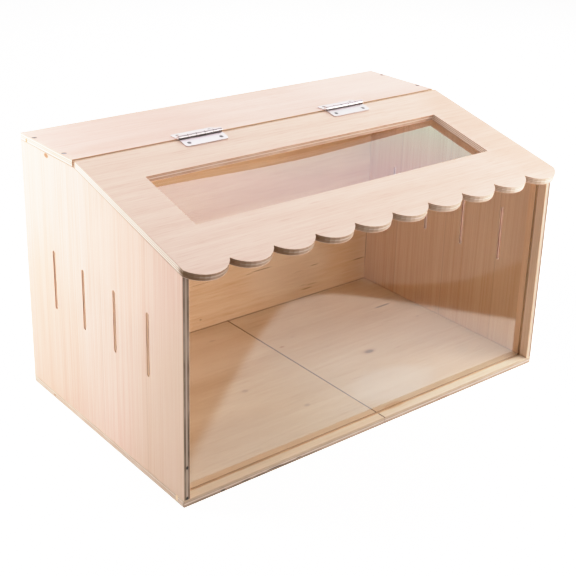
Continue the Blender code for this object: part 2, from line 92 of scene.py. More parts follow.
# Painted shade along the top of the front edge
STRIP_PAINTED_SHADE_MARK = ((0, FRONT, 8.7), (900, 1.2, 1.2), "B09072", 0.6)
FRONT_WARD = (0, -1, 0)
# A tone is a colour, a strength and ramps. A ramp goes up between two distances along its direction.
# Painted shade on the inner plies of the floor's front edge
FLOOR_EDGE_PAINTED_SHADE = (("8A7562", 0.75, (("Object", FRONT_WARD, 0.17, 0.172),)),)
FLOOR_LEFT_MARKS = (
    STRIP_PAINTED_SHADE_MARK,
    RIM_PAINTED_SHADE_MARK,
    SEAM_MARK,
    GROOVE_PAINTED_LIGHT_MARK,
    GROOVE_MARK,
    BACK_JOINT_MARK,
    ((-44.7, 133.5, 9), (6, 1.8, 1), "96705A", 0.55),
    # Broad patches of painted shade in front and painted light behind
    ((-215, -115, 9), (150, 70, 1), "A88460", 0.15),
    ((-120, 105, 9), (150, 70, 1), "FFF2E2", 0.4),
    ((-93, -12, 9), (5, 4, 1), "A88C78", 0.35),
    ((-48.8, -89.4, 9), (5, 3.5, 1), "A88C78", 0.4),
    ((-270, FRONT, 1.8), (26, 2, 1.1), "6B5644", 0.75),
    ((-245.2, FRONT, 2.2), (4, 2, 1.3), "2E211A", 0.9),
    ((-228, FRONT, 1.4), (11, 2, 1.2), "5A4434", 0.8),
    ((-212, FRONT, 2.6), (9, 2, 1.1), "3A2A20", 0.85),
    ((-190, FRONT, 1.9), (13, 2, 1.3), "5A4434", 0.8),
    ((-168, FRONT, 3.4), (14, 2, 1.1), "3E2C20", 0.85),
    ((-148, FRONT, 2.2), (17, 2, 1.2), "5A4434", 0.8),
    ((-131, FRONT, 3.6), (5, 2, 0.9), "3A2A20", 0.8),
    ((-112, FRONT, 2.4), (18, 2, 1.0), "6B5644", 0.75),
    # Painted shade along the foot of the left edge
    ((LEFT, 0, 0.4), (3, 900, 1.6), "9C8672", 0.6),
    ((LEFT, 135, 4.4), (2, 3.4, 1.1), "A06A3C", 0.85),
)
FLOOR_RIGHT_MARKS = (
    STRIP_PAINTED_SHADE_MARK,
    RIM_PAINTED_SHADE_MARK,
    SEAM_MARK,
    GROOVE_PAINTED_LIGHT_MARK,
    GROOVE_MARK,
    BACK_JOINT_MARK,
    ((121, -25, 9), (8.5, 4.4, 1), "5E4238", 0.92),  # the knot, and the paler wood round it
    ((121, -25, 9), (15, 8, 1), "C8A78C", 0.45),
    # A broad patch of painted light
    ((80, -112, 9), (80, 45, 1), "F4EEE6", 0.45),
    ((243, 77, 9), (17, 1.9, 1), "7E604E", 0.8),
    ((59, 75, 9), (3, 1.6, 1), "A88468", 0.4),
    ((81.4, 20, 9), (2, 1.4, 1), "9C7258", 0.5),
    ((27, 59, 9), (5, 2.4, 1), "C08B55", 0.6),
    ((164.7, -39.6, 9), (4.5, 1.3, 1), "B98A66", 0.55),
    ((261, 18, 9), (3, 2, 1), "A8896F", 0.5),
    ((53, -73, 9), (12, 1, 1), "C39A78", 0.4),
    ((44.6, -156.9, 9), (20, 7, 1), "C9924F", 0.4),
    ((120, FRONT, 3.2), (14, 2, 1.1), "8A5F3E", 0.75),
)


def linear(hex_colour):
    """An sRGB colour written in hex, as linear red, green, blue and an alpha of 1."""
    parts = [int(hex_colour[at : at + 2], 16) / 255 for at in (0, 2, 4)]
    return tuple(c / 12.92 if c <= 0.04045 else ((c + 0.055) / 1.055) ** 2.4 for c in parts) + (1.0,)


def add(tree, kind, inputs=None, **settings):
    """Adds a shader node. An input is a value, an output, or a node that stands for its first output."""
    node = tree.nodes.new("ShaderNode" + kind)
    for name, value in settings.items():
        setattr(node, name, value)
    for name, value in (inputs or {}).items():
        if isinstance(value, bpy.types.Node):
            value = value.outputs[0]
        if isinstance(value, bpy.types.NodeSocket):
            tree.links.new(value, node.inputs[name])
        else:
            node.inputs[name].default_value = value
    return node


def new_material(name):
    """A new material with its node tree and its surface shader."""
    material = bpy.data.materials.new(name)
    material.use_nodes = True
    return material, material.node_tree, material.node_tree.nodes["Principled BSDF"]


def blotch(tree, colour, marks):
    """Lays marks over a colour: ellipsoids, whole inside and soft at the edge."""
    where = add(tree, "TexCoord").outputs["Object"]
    for centre, radii, mark_colour, strength in marks:
        offset = add(tree, "VectorMath", {0: where, 1: Vector(centre) * MM}, operation="SUBTRACT")
        scaled = add(tree, "VectorMath", {0: offset, 1: Vector(radii) * MM}, operation="DIVIDE")
        distance = add(tree, "VectorMath", {0: scaled}, operation="LENGTH").outputs["Value"]
        fade = {"Value": distance, "From Min": MARK_GONE, "From Max": MARK_WHOLE, "To Max": strength}
        share = add(tree, "MapRange", fade, interpolation_type="SMOOTHSTEP")
        colour = add(tree, "MixRGB", {0: share, 1: colour, 2: linear(mark_colour)})
    return colour


def plywood(name, origin, turn, faces, grain, figure, marks=(), tones=(), splice=None, seed=0.0):
    """Birch plywood as a solid pattern, sanded and left bare, so that it is matt with a soft sheen.

    Board coordinates are u along the face grain, v across it and w through the board. The depth w gives the
    ply, and every second ply is turned, with darker end grain and dark glue between. The grain is noise drawn
    out along u: fine pores over longer streaks over a broad figure. The real pores, 0.1 mm wide, wouldn't
    show, so they are drawn 1 to 2 mm wide. A splice, a first joint and a strip width, is where strips of
    veneer meet. Each tone colours sawn edges where all its ramps, along a direction of place or of normal,
    are up. Grain, figure, splice and marks are in millimetres.
    """
    material, tree, shader = new_material(name)
    where = add(tree, "TexCoord")
    shift = -(turn.to_matrix() @ Vector(origin))
    board = add(tree, "Mapping", {"Vector": where.outputs["Object"], "Location": shift, "Rotation": turn})
    u, v, w = add(tree, "SeparateXYZ", {0: board}).outputs

    # The ply at this depth, and the grain's own axes in it
    depth = add(tree, "Math", {0: w, 1: FACE_VENEER}, operation="SUBTRACT")
    level = add(tree, "Math", {0: depth, 1: INNER_PLY}, operation="DIVIDE")
    number = add(tree, "Math", {0: level}, operation="FLOOR")
    along = add(tree, "Math", {0: number, 1: 2.0}, operation="FLOORED_MODULO")
    difference = add(tree, "Math", {0: u, 1: v}, operation="SUBTRACT")
    total = add(tree, "Math", {0: u, 1: v}, operation="ADD")
    run = add(tree, "Math", {0: along, 1: difference, 2: v}, operation="MULTIPLY_ADD")
    side = add(tree, "Math", {0: total, 1: run}, operation="SUBTRACT")
    layer = add(tree, "Math", {0: number, 1: PLY_SHIFT, 2: seed}, operation="MULTIPLY_ADD")
    if splice:
        first_joint, strip_width = splice[0] * MM, splice[1] * MM
        from_joint = add(tree, "Math", {0: v, 1: first_joint}, operation="SUBTRACT")
        strips = add(tree, "Math", {0: from_joint, 1: strip_width}, operation="DIVIDE")
        strip = add(tree, "Math", {0: strips}, operation="FLOOR")
        layer = add(tree, "Math", {0: strip, 1: STRIP_SHIFT, 2: layer}, operation="MULTIPLY_ADD")

    # Grain: pores, streaks and broad figure
    at = add(tree, "CombineXYZ", {0: run, 1: side, 2: layer})
    pore_length, pore_width, pore_from, pore_share = grain
    figure_length, figure_width, figure_share = figure
    streak_share = TONE_SUM - pore_share - figure_share
    tone = 0.0
    for length, width, low, high, share in (
        (figure_length, figure_width, 0.3, 0.7, figure_share),
        (STREAK_LENGTH * pore_length, STREAK_WIDTH * pore_width, 0.35, 0.7, streak_share),
        (pore_length, pore_width, pore_from, pore_from + PORE_RAMP, pore_share),
    ):
        size = (1 / (length * MM), 1 / (width * MM), 1.0)
        drawn = add(tree, "VectorMath", {0: at, 1: size}, operation="MULTIPLY")
        noise = add(tree, "TexNoise", {"Vector": drawn, "Detail": 2.0, "Scale": 1.0, "Distortion": 0.25})
        part = add(tree, "MapRange", {"Value": noise, "From Min": low, "From Max": high, "To Max": share})
        tone = add(tree, "Math", {0: part, 1: tone}, operation="ADD", use_clamp=True)
    upper = add(tree, "Math", {0: w, 1: PLY / 2}, operation="GREATER_THAN")
    pale = add(tree, "MixRGB", {0: upper, 1: linear(faces[0][0]), 2: linear(faces[1][0])})
    dark = add(tree, "MixRGB", {0: upper, 1: linear(faces[0][1]), 2: linear(faces[1][1])})
    face = add(tree, "MixRGB", {0: tone, 1: pale, 2: dark})
    if splice:
        golden = add(tree, "Math", {0: strip, 1: GOLDEN}, operation="MULTIPLY")
        shade = add(tree, "Math", {0: golden}, operation="FRACT")
        strip_tone = add(tree, "Math", {0: shade, 1: STRIP_CONTRAST}, operation="MULTIPLY")
        face = add(tree, "MixRGB", {0: strip_tone, 1: face, 2: dark})
        to_joint = add(tree, "Math", {0: from_joint, 1: strip_width / 2}, operation="PINGPONG")
        joint_fade = {"Value": to_joint, "From Min": SPLICE_REACH, "From Max": 0.0, "To Max": 0.5}
        joint = add(tree, "MapRange", joint_fade)
        face = add(tree, "MixRGB", {0: joint, 1: face, 2: linear(SPLICE_LINE)})

    # Edges: long and turned plies, the end grain darker and uneven, with glue between them
    core, end, glue = SAWN_EDGE
    facing = add(tree, "Mapping", {"Vector": where.outputs["Normal"], "Rotation": turn}, vector_type="VECTOR")
    normal = add(tree, "VectorMath", {0: facing}, operation="ABSOLUTE")
    n_u, n_v, _ = add(tree, "SeparateXYZ", {0: normal}).outputs
    n_difference = add(tree, "Math", {0: n_u, 1: n_v}, operation="SUBTRACT")
    end_grain = add(
        tree, "Math", {0: along, 1: n_difference, 2: n_v}, operation="MULTIPLY_ADD", use_clamp=True
    )
    middle = add(tree, "Math", {0: level, 1: INNER_PLIES / 2}, operation="SUBTRACT")
    off_middle = add(tree, "Math", {0: middle}, operation="ABSOLUTE")
    inside = add(tree, "Math", {0: off_middle, 1: INNER_PLIES / 2}, operation="LESS_THAN")
    long_tone = add(tree, "Math", {0: tone, 1: 0.6}, operation="MULTIPLY")
    long_ply = add(tree, "MixRGB", {0: long_tone, 1: linear(core), 2: linear(end)})
    body = add(tree, "MixRGB", {0: inside, 1: face, 2: long_ply})
    burn_size = (1 / SAW_BURN, 1 / SAW_BURN, 0.6 / PLY)
    burn_at = add(tree, "VectorMath", {0: board, 1: burn_size}, operation="MULTIPLY")
    burn = add(tree, "TexNoise", {"Vector": burn_at, "Scale": 1.0, "Detail": 2.0})
    uneven = add(tree, "MapRange", {"Value": burn, "From Min": 0.3, "From Max": 0.7, "To Min": 0.4})
    ends = add(tree, "Math", {0: end_grain, 1: uneven}, operation="MULTIPLY")
    sawn = add(tree, "MixRGB", {0: ends, 1: body, 2: linear(end)})
    for tone_colour, strength, ramps in tones:
        taken_up = add(tree, "MapRange", {"Value": ends, "To Min": 0.6 * strength, "To Max": strength})
        share = add(tree, "Math", {0: inside, 1: taken_up}, operation="MULTIPLY")
        for output, direction, start, stop in ramps:
            reach = add(tree, "VectorMath", {0: where.outputs[output], 1: direction}, operation="DOT_PRODUCT")
            rise = {"Value": reach.outputs["Value"], "From Min": start, "From Max": stop}
            share = add(tree, "Math", {0: share, 1: add(tree, "MapRange", rise)}, operation="MULTIPLY")
        sawn = add(tree, "MixRGB", {0: share, 1: sawn, 2: linear(tone_colour)})
    near = add(tree, "Math", {0: level, 1: 0.5}, operation="PINGPONG")
    glue_fade = {"Value": near, "From Min": GLUE_LINE / INNER_PLY, "From Max": 0.0, "To Max": 0.85}
    colour = add(tree, "MixRGB", {0: add(tree, "MapRange", glue_fade), 1: sawn, 2: linear(glue)})
    colour = blotch(tree, colour, marks)

    sheen = add(tree, "MapRange", {"Value": noise, "To Min": SANDED[0], "To Max": SANDED[1]})
    relief = add(tree, "Bump", {"Height": noise, "Strength": 0.2, "Distance": GRAIN_DEPTH})
    tree.links.new(colour.outputs[0], shader.inputs["Base Color"])
    tree.links.new(sheen.outputs[0], shader.inputs["Roughness"])
    tree.links.new(relief.outputs[0], shader.inputs["Normal"])
    shader.inputs["Specular IOR Level"].default_value = 0.35
    return material


def dress(node, material):
    """Gives a CAD node this material in its only slot."""
    mesh = frame["nodes"][node].data
    mesh.materials.clear()
    mesh.materials.append(material)


for label, marks, seed in (("left", FLOOR_LEFT_MARKS, 3.1), ("right", FLOOR_RIGHT_MARKS, 8.4)):
    floor_ply = plywood(
        f"floor_{label}_birch_ply",
        (0, 0, 0),
        FLAT,
        (FLOOR_UNDERSIDE, FLOOR_INSIDE),
        FLOOR_GRAIN,
        FLOOR_FIGURE,
        marks,
        FLOOR_EDGE_PAINTED_SHADE,
        seed=seed,
    )
    dress(f"base_board_{label}", floor_ply)
dress("base_tongue", floor_ply)

# The sides: 9 mm plywood, faced with strips of quarter-cut veneer, the grain upright and very fine. They
# stand on the floor, screwed from below, with four milled vent slots each. Painted shade darkens their front
# edges, the left one's more towards the top, and the walls of the right one's slots; painted light brightens
# the walls of the left one's slots.
UPRIGHT = Euler((0, math.pi / 2, 0))
SIDE_LEFT_OUTSIDE = ("F2D2C4", "E0B29C")
SIDE_RIGHT_OUTSIDE = ("F2D5C6", "E0B59F")
SIDE_INSIDE = ("F3D9BF", "DFB693")
SIDE_GRAIN = (170, 1.8, 0.42, 0.45)
SIDE_FIGURE = (800, 26, 0.25)
SIDE_SPLICE = (2.6, 101)
BACK_INSIDE = 173.8
# Painted shade on the front edge, darker towards the top, and painted light on the walls of the slots
LEFT_EDGE_PAINTED_SHADE_AND_LIGHT = (
    ("54402E", 1.0, (("Object", FRONT_WARD, 0.166, 0.17),)),
    ("2A1E16", 0.35, (("Object", FRONT_WARD, 0.166, 0.17), ("Object", (0, 0, 1), 0.2, 0.29))),
    ("F8E6CE", 0.6, (("Object", FRONT_WARD, 0.17, 0.166), ("Normal", FRONT_WARD, 0.5, 0.9))),
)
# Painted shade on the front edge, most on its outer part, and on the walls of the slots
RIGHT_EDGE_PAINTED_SHADE = (
    ("B8977A", 0.65, (("Object", FRONT_WARD, 0.166, 0.17),)),
    ("5E4A38", 0.85, (("Object", FRONT_WARD, 0.166, 0.17), ("Object", (1, 0, 0), 0.294, 0.296))),
    ("8A4412", 1.0, (("Object", FRONT_WARD, 0.168, 0.164), ("Normal", FRONT_WARD, 0.5, 0.9))),
)
SIDE_LEFT_MARKS = (
    ((-295.1, FRONT, 52), (1.8, 3, 2.6), "140E0A", 0.95),
    ((-295.3, FRONT, 11.5), (1.9, 3, 2.6), "140E0A", 0.95),
    # Broad patches of painted shade low on the face and of painted light high up
    ((LEFT, -215, 40), (1.5, 170, 230), "CFBCA0", 0.4),
    ((LEFT, 150, 60), (1.5, 130, 180), "D9A98F", 0.25),
    ((LEFT, -45, 262), (1.5, 75, 75), "FFD2C0", 0.35),
    ((LEFT, 124.3, 342.5), (1.5, 6, 3.2), "9A6436", 0.9),
)
SIDE_RIGHT_MARKS = (
    ((298.3, FRONT, 28.9), (1.2, 2, 2), "3A2A22", 0.9),
    ((291, BACK_INSIDE, 84), (1.5, 1.5, 66), "6A3A22", 0.75),
    # Painted light inside the front sheet's groove
    ((294, -158.2, 150), (4.5, 2.4, 900), "FFE0B8", 0.85),
    ((291, -160.2, 150), (1.4, 0.4, 900), "8A4A20", 0.9),
    ((291, -167, 150), (1, 7, 900), "9A7350", 0.25),
    ((291, 0, 9.3), (0.9, 900, 0.9), "8A5438", 0.5),
)
for label, faces, tones, marks, seed in (
    ("left", (SIDE_INSIDE, SIDE_LEFT_OUTSIDE), LEFT_EDGE_PAINTED_SHADE_AND_LIGHT, SIDE_LEFT_MARKS, 12.0),
    ("right", (SIDE_RIGHT_OUTSIDE, SIDE_INSIDE), RIGHT_EDGE_PAINTED_SHADE, SIDE_RIGHT_MARKS, 17.0),
):
    high_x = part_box(f"side_panel_{label}")[1].x
    side_ply = plywood(
        f"side_{label}_birch_ply",
        (high_x, 0, 0),
        UPRIGHT,
        faces,
        SIDE_GRAIN,
        SIDE_FIGURE,
        marks,
        tones,
        SIDE_SPLICE,
        seed,
    )
    dress(f"side_panel_{label}", side_ply)

# The back: one board with a rotary-cut face, its grain along the box and streaked with gum. It is let into
# the sides and screwed from below.
FACING_FRONT = Euler((-math.pi / 2, 0, 0))
BACK_FACE = ("F0D4B6", "D0A078")
BACK_MARKS = (
    # Broad patches of painted light along the top and low in the middle, and of painted shade on the right
    ((60, BACK_INSIDE, 280), (420, 2, 40), "F0C896", 0.45),
    ((265, BACK_INSIDE, 90), (70, 2, 95), "C88850", 0.15),
    ((130, BACK_INSIDE, 65), (90, 2, 45), "F2E0CE", 0.4),
    ((76, BACK_INSIDE, 78.3), (22, 1, 0.8), "6E452F", 0.7),
    ((52, BACK_INSIDE, 76.6), (8, 1, 0.6), "7E543A", 0.5),
    ((182, BACK_INSIDE, 60), (9, 1, 0.8), "7A4E36", 0.6),
    ((150, BACK_INSIDE, 56.4), (10, 1, 0.5), "9A6A4A", 0.4),
    ((168, BACK_INSIDE, 22.6), (11, 1, 0.8), "6E452F", 0.7),
    ((177, BACK_INSIDE, 28), (12, 1, 0.6), "8A5A3C", 0.6),
    ((160, BACK_INSIDE, 30), (6, 1, 0.5), "8A5A3C", 0.5),
    ((277, BACK_INSIDE, 47.5), (14, 1, 0.8), "5E3C2A", 0.75),
    ((-34, BACK_INSIDE, 83), (22, 1, 0.6), "8A5A3C", 0.45),
    ((-37, BACK_INSIDE, 25), (2.4, 1, 1.3), "8A5F45", 0.55),
    ((0, BACK_INSIDE, 9.4), (900, 1, 0.7), "8A4828", 0.65),
)
back_ply = plywood(
    "back_birch_ply",
    (0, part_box("back_panel")[1].y, 0),
    FACING_FRONT,
    (FLOOR_UNDERSIDE, BACK_FACE),
    FLOOR_GRAIN,
    FLOOR_FIGURE,
    BACK_MARKS,
    seed=21.0,
)
dress("back_panel", back_ply)

# The top board: a level board of the same plywood, its grain along the box, screwed down on the sides. Its
# front edge is pale with light from the gap before it.
BOARD_FACE = ("F9D9CC", "DDB09F")
TOP_BOARD_MARKS = (
    ((0, 57.2, 355), (900, 2.0, 1.2), "BE9166", 0.85),
    ((LEFT, 57.3, 350), (1.6, 1.8, 6), "9A6838", 0.8),
    ((LEFT, 176, 348.4), (2, 2.6, 3.2), "A8743F", 0.85),
    # Painted shade to the left and painted light to the right
    ((-190, 125, 355), (150, 95, 3), "D2A096", 0.25),
    ((260, 150, 355), (150, 90, 3), "FFDFD2", 0.5),
)
LIT_GAP_TONES = (("FFF0DA", 0.85, (("Normal", FRONT_WARD, 0.5, 0.9),)),)
BOARD_GRAIN = (30, 1.1, 0.54, 0.45)
BOARD_FIGURE = (420, 24, 0.25)
low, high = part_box("top_board")
BOARD_TOP = high.z
top_ply = plywood(
    "top_board_birch_ply",
    (0, 0, low.z),
    FLAT,
    (BOARD_FACE, BOARD_FACE),
    BOARD_GRAIN,
    BOARD_FIGURE,
    TOP_BOARD_MARKS,
    LIT_GAP_TONES,
    seed=27.0,
)
dress("top_board", top_ply)

# The lid: the same plywood, sawn to ten scallops along the front, with a long window. It slopes down from the
# hinge pins, and its pattern lies in its own plane. Painted shade darkens its scallops, more towards the left
# and most where they face left, and the rear edge of the window. Its left end's edges are paler.
LID_SLOPE = math.radians(14.24)
LID_FACE = ("F2D3C2", "D6AA95")
pin = Vector(next(joint for joint in frame["joints"] if joint["name"] == "lid_hinge")["pos_m"])
PIN_BEHIND_LID = 0.8 * MM
LID_TOP = PIN_BEHIND_LID * math.sin(LID_SLOPE) - (pin.z - BOARD_TOP) * math.cos(LID_SLOPE)
LID_UNDERSIDE = LID_TOP - PLY
lid_turn = Euler((-LID_SLOPE, 0, 0))
lid_to_world = Matrix.Rotation(LID_SLOPE, 3, "X")
LID_MARKS = (
    ((0, 52, 354.8), (900, 1.2, 1), "C39A72", 0.6),
    ((LEFT, 52.4, 350), (1.6, 1.4, 6), "9A6838", 0.7),
    # Painted shade over the lid's right side
    ((310, -60, 325), (90, 200, 60), "CFA088", 0.3),
)
LID_TONES = (
    # Painted shade on the scallops and the window's rear edge; the third tone makes the left end's edges
    # paler
    ("6A4414", 0.95, (("Object", FRONT_WARD, 0.165, 0.172), ("Object", (-1, 0, 0), -0.24, 0.16))),
    ("6A4414", 0.85, (("Object", FRONT_WARD, 0.165, 0.172), ("Normal", (-1, 0, 0), 0.1, 0.9))),
    ("FFEBDC", 0.9, (("Object", FRONT_WARD, 0.17, 0.16), ("Normal", (-1, 0, 0), 0.5, 0.9))),
    ("8A5230", 0.7, (("Object", FRONT_WARD, 0.1, 0.09), ("Normal", FRONT_WARD, 0.5, 0.9))),
)
lid_ply = plywood(
    "lid_birch_ply",
    pin + lid_to_world @ Vector((0, 0, LID_UNDERSIDE)),
    lid_turn,
    (LID_FACE, LID_FACE),
    BOARD_GRAIN,
    BOARD_FIGURE,
    LID_MARKS,
    LID_TONES,
    seed=33.0,
)
dress("lid_panel", lid_ply)

# The clear sheets: 3 mm cast acrylic. It mirrors the room more the flatter it is seen, and lets light
# through. The front sheet stands in its grooves; the lid's is screwed up at the corners and sags between.
SHEET = 3 * MM
SHEET_EDGE = 0.3 * MM
SHEET_TINT = "FCFAF6"
ACRYLIC_IOR = 1.49
BOTH_FACES = 1.85
SHEET_STATIONS = 65
SAG = 3.5 * MM
SEAT = 0.3 * MM
WINDOW_MARGIN = 61 * MM
WINDOW_REAR_MARGIN = 60 * MM
WINDOW_LENGTH = 108 * MM
WINDOW_LAP = 20 * MM


def clear_sheet(name, tint):
    """Polished clear acrylic: see-through, with the mirror image of both faces shown by the outer one."""
    material, tree, shader = new_material(name)
    tree.nodes.remove(shader)
    backface = add(tree, "NewGeometry").outputs["Backfacing"]
    outer = add(tree, "Math", {0: 1.0, 1: backface}, operation="SUBTRACT")
    mirror = add(tree, "Fresnel", {"IOR": ACRYLIC_IOR})
    two_faces = add(tree, "Math", {0: mirror, 1: BOTH_FACES}, operation="MULTIPLY")
    share = add(tree, "Math", {0: two_faces, 1: outer}, operation="MULTIPLY", use_clamp=True)
    clear = add(tree, "BsdfTransparent", {"Color": linear(tint)})
    gloss = add(tree, "BsdfAnisotropic", {"Color": linear("FFFFFF"), "Roughness": 0.02})
    mixed = add(tree, "MixShader", {0: share, 1: clear, 2: gloss})
    tree.links.new(mixed.outputs[0], tree.nodes["Material Output"].inputs["Surface"])
    return material


dress("front_pane", clear_sheet("clear_acrylic", SHEET_TINT))


def sagging_sheet(half, low_y, high_y, stations):
    """The lid's sheet in the lid's own frame: a chamfered strip carried along X, closed at both ends.

    The profile is a rectangle with its corners cut. Its height falls by SAG times the square of the cosine
    of a quarter turn from the middle to the end, so that it lies flat under the screws.
    """
    profile = [
        (low_y + SHEET_EDGE, 0),
        (high_y - SHEET_EDGE, 0),
        (high_y, -SHEET_EDGE),
        (high_y, SHEET_EDGE - SHEET),
        (high_y - SHEET_EDGE, -SHEET),
        (low_y + SHEET_EDGE, -SHEET),
        (low_y, SHEET_EDGE - SHEET),
        (low_y, -SHEET_EDGE),
    ]
    section = np.array(profile)
    x = np.linspace(-half, half, stations)
    drop = SAG * np.cos(x / half * math.pi / 2) ** 2
    points = np.zeros((stations, len(profile), 3))
    points[:, :, 0] = x[:, None]
    points[:, :, 1] = section[None, :, 0]
    points[:, :, 2] = section[None, :, 1] - drop[:, None] + LID_UNDERSIDE - SEAT
    step, count = np.meshgrid(np.arange(stations - 1), np.arange(len(profile)), indexing="ij")
    first = step * len(profile) + count
    second = step * len(profile) + (count + 1) % len(profile)
    walls = np.stack([first, first + len(profile), second + len(profile), second], -1).reshape(-1, 4)
    start = np.arange(len(profile))
    end = start[::-1] + (stations - 1) * len(profile)
    return points.reshape(-1, 3), walls.tolist() + [start.tolist(), end.tolist()]


SHARP = math.radians(35)


def piece(name, points, faces, material, smooth=False):
    """A new piece at the origin, with its place in its mesh, shaded smooth up to SHARP or flat."""
    mesh = bpy.data.meshes.new(name)
    mesh.from_pydata(points.tolist(), [], faces)
    mesh.validate()
    mesh.materials.append(material)
    if smooth:
        mesh.shade_smooth()
        mesh.set_sharp_from_angle(angle=SHARP)
    obj = bpy.data.objects.new(name, mesh)
    bpy.context.scene.collection.objects.link(obj)
    return obj


half_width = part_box("lid_panel")[1].x
lid_rear = -PIN_BEHIND_LID * math.cos(LID_SLOPE) - (pin.z - BOARD_TOP) * math.sin(LID_SLOPE)
window_rear = lid_rear - WINDOW_REAR_MARGIN
window_front = window_rear - WINDOW_LENGTH
sheet_half = half_width - WINDOW_MARGIN + WINDOW_LAP
points, faces = sagging_sheet(sheet_half, window_front - WINDOW_LAP, window_rear + WINDOW_LAP, SHEET_STATIONS)
points = points @ np.array(lid_to_world).T + np.array(pin)
lid_acrylic = clear_sheet("clear_acrylic_lid", SHEET_TINT)
lid_sheet = piece("lid_clear_sheet", points, faces, lid_acrylic, True)
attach(lid_sheet, "lid")
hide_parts("lid_window_pane")

# The hinges: two 65 mm butt hinges, stamped and rolled from steel strip and bright zinc plated. They are
# screwed on top of the boards, so the barrel stands over the gap. Painted shade darkens the breaks between
# its knuckles and the barrel's rear, and a painted shadow lies where it meets the lid's leaf.
ROLLING_LINES = (9 * MM, 0.6 * MM, 0.6 * MM)
LINE_CONTRAST = 0.12
HINGE_MIDDLE = 121
KNUCKLE_BREAKS = (-19.5, -6.5, 6.5, 19.5)
# Painted shade in the breaks between the knuckles
KNUCKLE_PAINTED_SHADE = tuple(
    ((side * HINGE_MIDDLE + at, 53.6, 358.2), (0.7, 4, 4), "4A4442", 0.85)
    for side in (-1, 1)
    for at in KNUCKLE_BREAKS
)
# Painted shadow where the barrel meets the lid's leaf
LEAF_PAINTED_SHADOW = ((0, 50.4, 356.9), (900, 1.4, 1.7), "3A3634", 0.75)
# Painted shade along the barrel's rear side
BARREL_PAINTED_SHADE = ((0, 56.5, 358.8), (900, 0.9, 1.4), "5A5654", 0.8)


def zinc_plated(name, colour, haze, marks=()):
    """Bright zinc plate on rolled steel: pale and mirror-like but hazy, with faint rolling lines along it."""
    material, tree, shader = new_material(name)
    where = add(tree, "TexCoord").outputs["Object"]
    drawn = add(tree, "VectorMath", {0: where, 1: ROLLING_LINES}, operation="DIVIDE")
    lines = add(tree, "TexNoise", {"Vector": drawn, "Scale": 1.0, "Detail": 3.0})
    low_haze, high_haze = haze
    roughness = add(tree, "MapRange", {"Value": lines, "To Min": low_haze, "To Max": high_haze})
    soft = add(tree, "MixRGB", {0: lines, 1: linear(colour), 2: linear("FFFFFF")})
    tint = add(tree, "MixRGB", {0: LINE_CONTRAST, 1: linear(colour), 2: soft})
    shader.inputs["Metallic"].default_value = 1.0
    tree.links.new(blotch(tree, tint, marks).outputs[0], shader.inputs["Base Color"])
    tree.links.new(roughness.outputs[0], shader.inputs["Roughness"])
    return material


hinge_painted_shade = (LEAF_PAINTED_SHADOW, BARREL_PAINTED_SHADE) + KNUCKLE_PAINTED_SHADE
hinge_zinc = zinc_plated("bright_zinc_plate", "D2C6C5", (0.3, 0.46), hinge_painted_shade)
for label in ("left", "right"):
    for part in ("fixed_leaf", "lid_leaf", "pin"):
        dress(f"hinge_{label}_{part}", hinge_zinc)

# The screws: countersunk wood screws, cold headed with a cross recess and thread rolled. Those in the boards
# and hinges are dark phosphated steel, and those that hold the lid's sheet are zinc plated.
SCREW_ANGLES = 48
HEAD_RINGS = 12
SHANK_RINGS = 28
THREAD_PITCH = 1.4 * MM
THREAD_DEPTH = 0.26  # of the shank's radius
RECESS_REACH = 0.62  # in radii of the head, as all down to HEAD_RIM
RECESS_WIDTH = 0.3
RECESS_DEPTH = 0.42
RECESS_WALL, RECESS_END = 0.06, 0.08
HEAD_FLAT = (0.08, 0.97)
HEAD_RIM = ((1.0, -0.03), (1.0, -0.08))
RECESS_RISE = 0.45  # how much shallower the recess is at its ends
TIP_SHARE = 0.25
TIP_LEAST, TIP_POWER = 0.04, 0.7
HEAD_PLANE = 0.01 * MM
SCREW_SPIN = 2.4  # radians from each screw to the next
CRYSTAL = 0.8 * MM  # far wider than real phosphate crystals, which would not show


def phosphated(name):
    """Phosphated steel: dark grey and half matt, mottled by its fine crystals."""
    material, tree, shader = new_material(name)
    where = add(tree, "TexCoord").outputs["Object"]
    mottle = add(tree, "TexNoise", {"Vector": where, "Scale": 1 / CRYSTAL, "Detail": 3.0})
    colour = add(tree, "MixRGB", {0: mottle, 1: linear("7A7776"), 2: linear("9E9A98")})
    shader.inputs["Metallic"].default_value = 1.0
    shader.inputs["Roughness"].default_value = 0.42
    tree.links.new(colour.outputs[0], shader.inputs["Base Color"])
    return material


